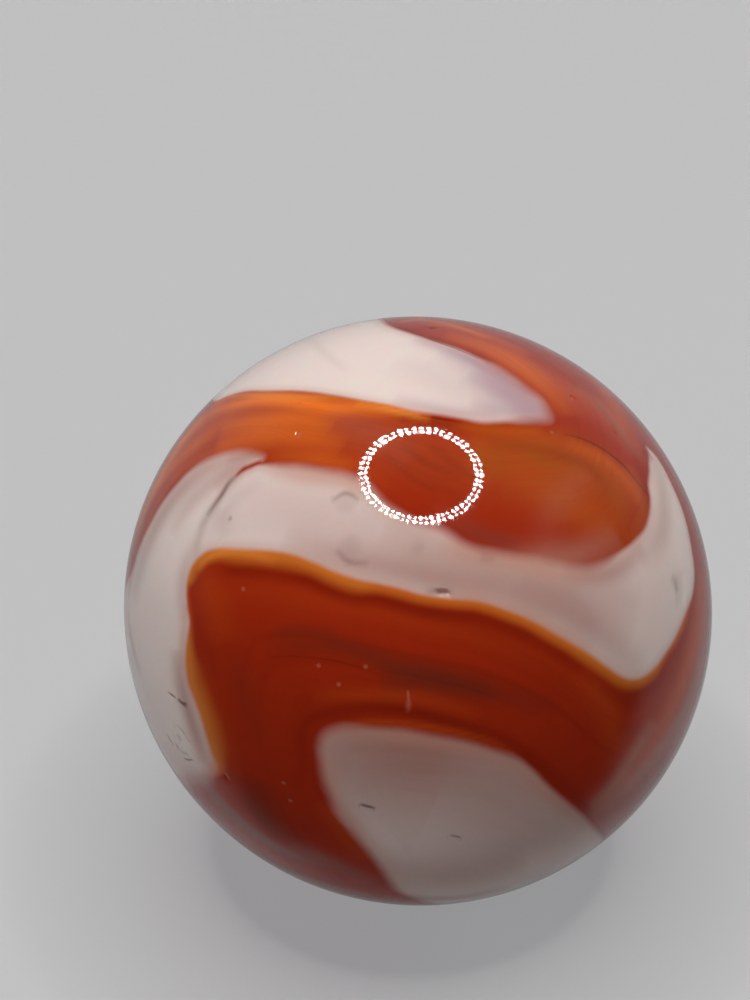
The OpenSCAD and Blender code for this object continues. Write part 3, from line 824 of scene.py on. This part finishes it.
def swirl_glass():
    """Opaque white glass folded into clearer orange-red glass, under one fire-polished skin."""
    finish, tree = new_finish("swirl_glass")

    def value(name):
        return node(tree, "ShaderNodeAttribute", {"attribute_name": name}, (), "Fac")

    def noise(vector, kind):
        sizes = dict(zip(("Scale", "Detail", "Roughness", "Distortion"), kind))
        settings = {"noise_dimensions": "3D"}
        return node(tree, "ShaderNodeTexNoise", settings, {"Vector": vector} | sizes)

    def layered(colour, layers, stir):
        for name, above, least, more in layers:
            colour = blend(tree, colour, above, value(name) * (least + stir * more))
        return colour

    in_mm = scaled(tree, node(tree, "ShaderNodeTexCoord", {}, (), "Object"), 1 / MM)
    edge, blur, seam, flow = value("edge"), value("blur"), value("seam"), value("flow")

    # Streaks that follow the folds: the noise changes fast across the flow and slowly along it
    along = scaled(tree, in_mm, STREAK_ALONG)
    across = node(tree, "ShaderNodeCombineXYZ", {}, [flow * rate for rate in STREAK_ACROSS])
    stream = node(tree, "ShaderNodeVectorMath", {"operation": "ADD"}, [along, across])
    streak = noise(stream, STREAKS)
    fine_streak = noise(stream, FINE_STREAKS)
    cloud = noise(in_mm, CLOUDS)

    # The coloured glass, with a dark line and then an amber seam along the white
    outside = -edge
    deep = streak.step(*DARK_STREAK) * DARK_STREAK_SHARE + value("deep")
    colour = blend(tree, ORANGE_RED, DEEP_RED, deep)
    colour = layered(colour, RED_LAYERS, fine_streak)
    beyond = abs(outside - seam - LINE_BEYOND)
    dark_line = (1 - beyond.step(0, LINE_REACH)) * value("line") * LINE_SHARE
    colour = blend(tree, colour, DEEP_RED, dark_line)
    full, gone = (seam * share for share in SEAM_EDGE)
    runs_out = (1 - outside.step(full, gone + HAIR)) * seam.step(*SEAM_SHOWS)
    colour = blend(tree, colour, blend(tree, EMBER, AMBER, seam.step(*SEAM_AMBER)), runs_out)
    colour = blend(tree, colour, GOLD, value("gold"))
    colour = layered(colour, CLOUDY_LAYERS, cloud)

    # The white glass, pinker where it thins out towards its edge. Its pink-brown tint is partly painted
    # shade, darkest over the lower part of the ball.
    white = layered(WHITE, WHITE_LAYERS, fine_streak)
    white = blend(tree, white, LILAC, value("lilac"))
    # Painted shade in and beside the dents and along the fold's crease, with a few faint fold lines
    white = blend(tree, white, SHADE, value("shade"))
    rim = 1 - edge.step(0, blur * PINK_BLURS + PINK_LEAST)
    white = blend(tree, white, PINK, rim * PINK_SHARE)
    wander = (fine_streak - 0.5) * blur * EDGE_WANDER
    colour = blend(tree, colour, white, (edge + wander).step(-blur, blur))

    # Threads, light specks with painted glints, and dirt over both
    threads = (1 - abs(value("thread_side")).step(*THREAD_EDGE)) * value("thread_share")
    colour = blend(tree, colour, THREAD_SHADE, threads, "MULTIPLY")
    colour = blend(tree, colour, FLECK_GLINT, value("fleck") * FLECK_GLINT_SHARE)
    colour = blend(tree, colour, DIRT, value("dirt") * DIRT_SHARE)

    rubbed = noise(in_mm, RUBS).step(*RUB_SHOWS)
    waves = {"Strength": 1, "Distance": SKIN_WAVE * MM, "Height": noise(in_mm, SKIN_WAVES)}
    shine = {
        "Base Color": colour,
        "Roughness": POLISH + rubbed * RUBBED_MORE + value("dirt") * DIRT_MORE,
        "Normal": node(tree, "ShaderNodeBump", {}, waves),
        "IOR": GLASS_IOR,
        "Subsurface Weight": GLOW_SHARE,
        "Subsurface Radius": GLOW_DEPTH,
        "Subsurface Scale": MM,
    }
    show(tree, node(tree, "ShaderNodeBsdfPrincipled", {}, shine))
    return finish


def placed(name, data):
    """A new object in the scene, at the origin."""
    thing = bpy.data.objects.new(name, data)
    bpy.context.scene.collection.objects.link(thing)
    return thing


def unfolded(mesh, cube_points):
    """Lays the mesh out flat: the six faces of the cube that it was blown out from, in two rows."""
    corners = np.empty(len(mesh.loops), int)
    mesh.loops.foreach_get("vertex_index", corners)
    starts = np.empty(len(mesh.polygons), int)
    mesh.polygons.foreach_get("loop_start", starts)
    counts = np.diff(np.append(starts, len(corners)))
    middles = np.add.reduceat(cube_points[corners], starts) / counts[:, None]
    axis = np.argmax(np.abs(middles), axis=1)
    ahead = np.take_along_axis(middles, axis[:, None], 1)[:, 0] > 0
    face = np.repeat(axis * 2 + ahead, counts)
    flip = np.where(face % 2, 1, -1)
    axis = face // 2
    rows = np.arange(len(corners))
    across = cube_points[corners][rows, (axis + 1) % 3] * flip
    up = cube_points[corners][rows, (axis + 2) % 3]
    column = (face % 3 + 0.5 + across * FLAT_HALF) / 3
    row = (face // 3 + 0.5 + up * FLAT_HALF) / 2
    mesh.uv_layers.new(name="OFBake").data.foreach_set("uv", np.stack([column, row], -1).ravel())


def marble():
    """The whole ball as one closed mesh, with its pattern held on its points."""
    grid = grid_ball()
    mesh = bpy.data.meshes.new("marble_glass")
    grid.to_mesh(mesh)
    grid.free()
    cube_points = np.empty(len(mesh.vertices) * 3)
    mesh.vertices.foreach_get("co", cube_points)
    cube_points = cube_points.reshape(-1, 3)
    spots = blown_out(cube_points)
    points = surface(spots, sunk(spots)[0]) @ np.array(FACE_TURN).T * MM
    mesh.vertices.foreach_set("co", points.ravel())
    for name, values in pattern(spots).items():
        held = mesh.attributes.new(name, "FLOAT", "POINT")
        held.data.foreach_set("value", values.astype(np.float32))
    mesh.polygons.foreach_set("use_smooth", np.ones(len(mesh.polygons), bool))
    unfolded(mesh, cube_points)
    mesh.update()
    mesh.materials.append(swirl_glass())
    return placed("marble_glass", mesh)


# --- Room, floor and lamps ------------------------------------------------------------------------
# The ring of lamps: its distance from the ball, how far it stands behind and to the right of
# straight overhead, and the half angles that its two rows and one lamp fill, in degrees
LAMP_RING_AWAY = 1200
LAMP_RING_BEHIND = 2.8
LAMP_RING_RIGHT = 2.1
LAMP_RING_HALF = [18.7, 20.5]
LAMPS_IN_ROW = 56
LAMP_HALF = 0.78
LAMP_SIDES = 8
LAMP_GLOW = 62
LAMP_COLOUR = (1, 0.985, 0.96)
FLOOR_ACROSS = 6000
FLOOR_GREY = (0.52, 0.52, 0.53)
FLOOR_ROUGH = 0.45
# The floor's shares of its grey for light that bounces off it, and of plain glow where it is seen
FLOOR_BOUNCE = 0.5
FLOOR_GLOW = 0.5
# The room's grey, and how much of its light falls on the ball
ROOM_GREY = (0.56, 0.56, 0.575)
ROOM_FILL = 0.07
# The low lights: their width, and each one's name, place and watts
LOW_LIGHT_ACROSS = 300
LOW_LIGHTS = [("left_light", (-470, -330, 40), 0.7), ("right_light", (440, -360, 60), 0.25)]
# The unlit side of the room, which only the gloss sees: the angles from the show face's way at
# which it is fully dark and gone, and how dark it is
DARK_SIDE_FULL = 80
DARK_SIDE_GONE = 135
DARK_SIDE_SHARE = 0.95
# How bright the gloss sees the rest of the room
GLOSSY_ROOM = 0.68
# The floor beside and behind the ball stays pale in the gloss out to the first distance from its
# centre and fades by the second; in front of the ball it does so over a shorter way
NEAR_FLOOR = (17, 45)
NEAR_IN_FRONT = (3, 9)


def ray(tree, kind):
    """1 for rays of one kind, 0 for all others."""
    return node(tree, "ShaderNodeLightPath", {}, (), f"Is {kind} Ray")


def looked_at(tree):
    """1 for rays from the camera and for what gloss and clear glass show, 0 for light that bounces."""
    every = ray(tree, "Camera") + ray(tree, "Glossy") + ray(tree, "Transmission")
    return every.maths("MINIMUM", every, 1)


def lit_side(tree, way, near=0):
    """How bright the gloss sees the room along a way from the ball; 1 where near, or for other rays."""
    settings = {"operation": "DOT_PRODUCT"}
    towards = node(tree, "ShaderNodeVectorMath", settings, [way, FACE_TURN.col[2]], "Value")
    gone, full = (math.cos(math.radians(angle)) for angle in (DARK_SIDE_GONE, DARK_SIDE_FULL))
    lit = (1 - towards.step(gone, full) * DARK_SIDE_SHARE * (1 - near)) * GLOSSY_ROOM
    return 1 - ray(tree, "Glossy") * (1 - lit)


def floor(height):
    """A plain pale floor that the ball touches at its lowest point."""
    mesh = bpy.data.meshes.new("floor")
    half = FLOOR_ACROSS / 2 * MM
    corners = [(-half, -half), (half, -half), (half, half), (-half, half)]
    mesh.from_pydata([(x, y, height) for x, y in corners], [], [(0, 1, 2, 3)])
    finish, tree = new_finish("floor_finish")
    place = node(tree, "ShaderNodeTexCoord", {}, (), "Object")
    way = node(tree, "ShaderNodeVectorMath", {"operation": "NORMALIZE"}, [place])
    seen = looked_at(tree)
    dim = tuple(channel * FLOOR_BOUNCE for channel in FLOOR_GREY)
    distance = node(tree, "ShaderNodeVectorMath", {"operation": "LENGTH"}, [place], "Value")
    in_front = -node(tree, "ShaderNodeSeparateXYZ", {}, [place], "Y")
    near = 1 - distance.step(*(edge * MM for edge in NEAR_FLOOR))
    near = near * (1 - in_front.step(*(edge * MM for edge in NEAR_IN_FRONT)))
    lit = lit_side(tree, way, near)
    grey = scaled(tree, blend(tree, dim, FLOOR_GREY, seen), lit)
    plain = node(tree, "ShaderNodeBsdfPrincipled", {}, {"Base Color": grey, "Roughness": FLOOR_ROUGH})
    glow = node(tree, "ShaderNodeEmission", {}, {"Color": scaled(tree, ROOM_GREY, lit)})
    show(tree, node(tree, "ShaderNodeMixShader", {}, [seen * FLOOR_GLOW, plain, glow]))
    mesh.materials.append(finish)
    plate = placed("floor", mesh)


def lamp_tree():
    """Geometry nodes for two rows of small lamps in a ring, and the identifiers of their inputs."""
    tree = bpy.data.node_groups.new("lamp_ring", "GeometryNodeTree")
    kinds = {"Inner": "Float", "Outer": "Float", "Count": "Int", "Lamp": "Float", "Finish": "Material"}
    asked = {}
    for name, kind in kinds.items():
        socket = tree.interface.new_socket(name, in_out="INPUT", socket_type=f"NodeSocket{kind}")
        asked[name] = socket.identifier
    tree.interface.new_socket("Geometry", in_out="OUTPUT", socket_type="NodeSocketGeometry")

    def given(name):
        return node(tree, "NodeGroupInput", {}, (), name)

    lamp = node(tree, "GeometryNodeMeshCircle", {"fill_type": "NGON"}, [LAMP_SIDES, given("Lamp")])
    rows = []
    for radius in ("Inner", "Outer"):
        row = node(tree, "GeometryNodeMeshCircle", {}, [given("Count"), given(radius)])
        rows.append(node(tree, "GeometryNodeInstanceOnPoints", {}, {"Points": row, "Instance": lamp}))
    joined = node(tree, "GeometryNodeJoinGeometry", {}, [rows])
    real = node(tree, "GeometryNodeRealizeInstances", {}, [joined])
    lit = node(tree, "GeometryNodeSetMaterial", {}, {"Geometry": real, "Material": given("Finish")})
    out = tree.nodes.new("NodeGroupOutput")
    tree.links.new(lit.socket, out.inputs["Geometry"])
    return tree, asked


def lamp_ring():
    """A ring of small lamps overhead, made by geometry nodes and kept as a plain mesh."""
    finish, tree = new_finish("lamp_glow")
    show(tree, node(tree, "ShaderNodeEmission", {}, {"Color": LAMP_COLOUR, "Strength": LAMP_GLOW}))
    away = LAMP_RING_AWAY * MM
    inner, outer, lamp = (
        away * math.tan(math.radians(half)) for half in (*LAMP_RING_HALF, LAMP_HALF)
    )
    sizes = {"Inner": inner, "Outer": outer, "Count": LAMPS_IN_ROW, "Lamp": lamp, "Finish": finish}
    holder = placed("lamp_holder", bpy.data.meshes.new("lamp_holder"))
    maker = holder.modifiers.new("lamp_ring", "NODES")
    maker.node_group, asked = lamp_tree()
    for name, value in sizes.items():
        maker[asked[name]] = value
    bpy.context.view_layer.update()
    seen = holder.evaluated_get(bpy.context.evaluated_depsgraph_get())
    mesh = bpy.data.meshes.new_from_object(seen)
    bpy.data.objects.remove(holder)
    behind = Matrix.Rotation(math.radians(-LAMP_RING_BEHIND), 4, "X")
    right = Matrix.Rotation(math.radians(LAMP_RING_RIGHT), 4, "Y")
    mesh.transform(right @ behind @ Matrix.Translation((0, 0, away)))
    ring = placed("lamp_ring", mesh)


def low_lights():
    """Large soft lamps to the sides, so low that they only lift the shaded lower half."""
    for name, at, watts in LOW_LIGHTS:
        lamp = bpy.data.lights.new(name, "AREA")
        lamp.shape = "DISK"
        lamp.size = LOW_LIGHT_ACROSS * MM
        lamp.energy = watts
        holder = placed(name, lamp)
        facing = Vector(at).to_track_quat("Z", "Y").to_matrix().to_4x4()
        holder.matrix_world = Matrix.Translation(Vector(at) * MM) @ facing
        holder.visible_camera = False
        holder.visible_glossy = False


def room():
    """A pale room: what the camera and the gloss see is its grey, and a little of it fills shadows."""
    world = bpy.data.worlds.new("pale_room")
    world.use_nodes = True
    tree = world.node_tree
    tree.nodes.clear()
    way = node(tree, "ShaderNodeTexCoord", {}, (), "Generated")
    strength = (looked_at(tree) * (1 - ROOM_FILL) + ROOM_FILL) * lit_side(tree, way)
    light = node(tree, "ShaderNodeBackground", {}, {"Color": ROOM_GREY, "Strength": strength})
    show(tree, light, "World")
    bpy.context.scene.world = world


# --- Camera ---------------------------------------------------------------------------------------
CAMERA_AWAY = 100
NEAREST_SEEN = 5
# Lens and frame height in mm, and how far from the frame's middle the ball's centre lies, in
# pixels of a frame 1000 pixels high
LENS = 132.2
SENSOR = 36
FRAME_HIGH = 1000
RIGHT_OF_MIDDLE = 42.9
BELOW_MIDDLE = 110.5


def camera():
    """A long lens at the show face's own angle, aimed a little off the ball's centre."""
    ball_seen = Vector((RIGHT_OF_MIDDLE, -BELOW_MIDDLE, -LENS / SENSOR * FRAME_HIGH))
    aim = ball_seen.rotation_difference(Vector((0, 0, -1))).to_matrix()
    lens = bpy.data.cameras.new("camera")
    lens.lens = LENS
    lens.sensor_width = SENSOR
    lens.clip_start = NEAREST_SEEN * MM
    eye = placed("camera", lens)
    away = Matrix.Translation(FACE_TURN.col[2] * CAMERA_AWAY * MM)
    eye.matrix_world = away @ (FACE_TURN @ aim).to_4x4()
    bpy.context.scene.camera = eye


bpy.context.scene.view_settings.view_transform = "Standard"
camera()
ball = marble()
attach(ball, "root")
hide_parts("marble")
lowest = min(v.co.z for v in ball.data.vertices)
floor(lowest)
lamp_ring()
low_lights()
room()
